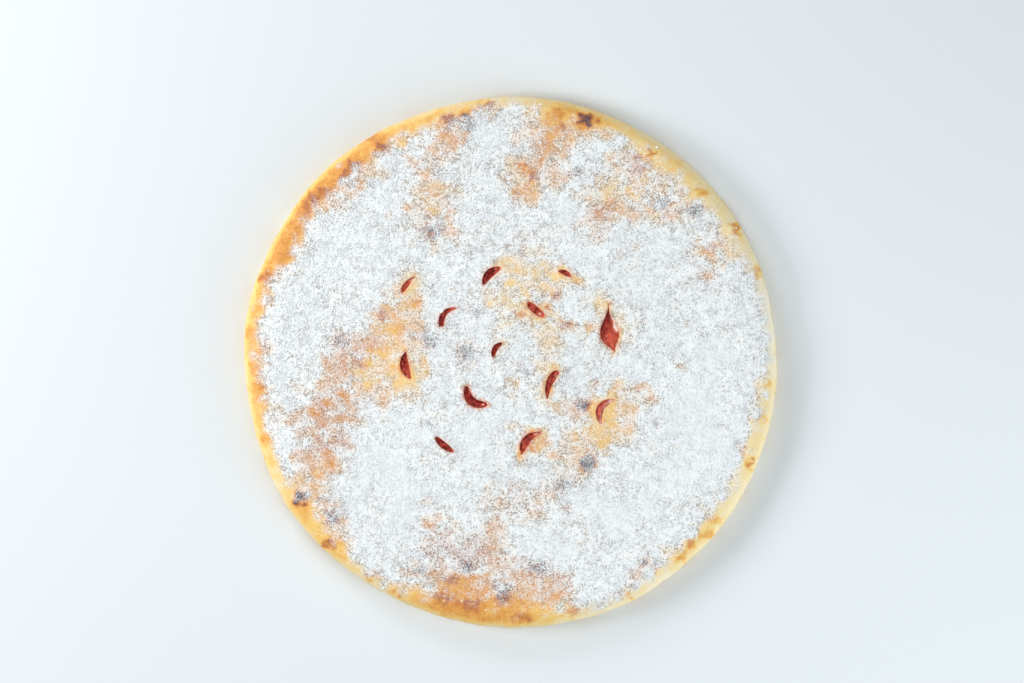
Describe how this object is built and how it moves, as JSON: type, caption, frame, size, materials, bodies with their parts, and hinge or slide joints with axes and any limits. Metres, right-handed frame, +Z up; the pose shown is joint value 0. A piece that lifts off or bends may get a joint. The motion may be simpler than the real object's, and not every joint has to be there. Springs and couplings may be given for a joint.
{
  "type": "strawberry pie",
  "caption": "Flat round pie of thin baked dough, sealed round a strawberry filling, with small curved vents in its top and a dusting of icing sugar.",
  "frame": {"origin": "middle of the flat underside, which is the middle of the outline's box", "axes": "+Z up out of the sugared top, +Y towards the top edge of the picture, +X towards its right edge"},
  "size_m": [0.3206, 0.3196, 0.0208],
  "materials": {
    "crust": "baked yeast dough, pale yellow to golden brown, with small burned blisters, under uneven icing sugar",
    "strawberry_filling": "wet, glossy cooked strawberry",
    "icing_sugar": "fine dry powder in small clumps"
  },
  "bodies": {
    "root": {"crust": "crust", "strawberry_filling": "strawberry_filling"}
  },
  "joints": []
}
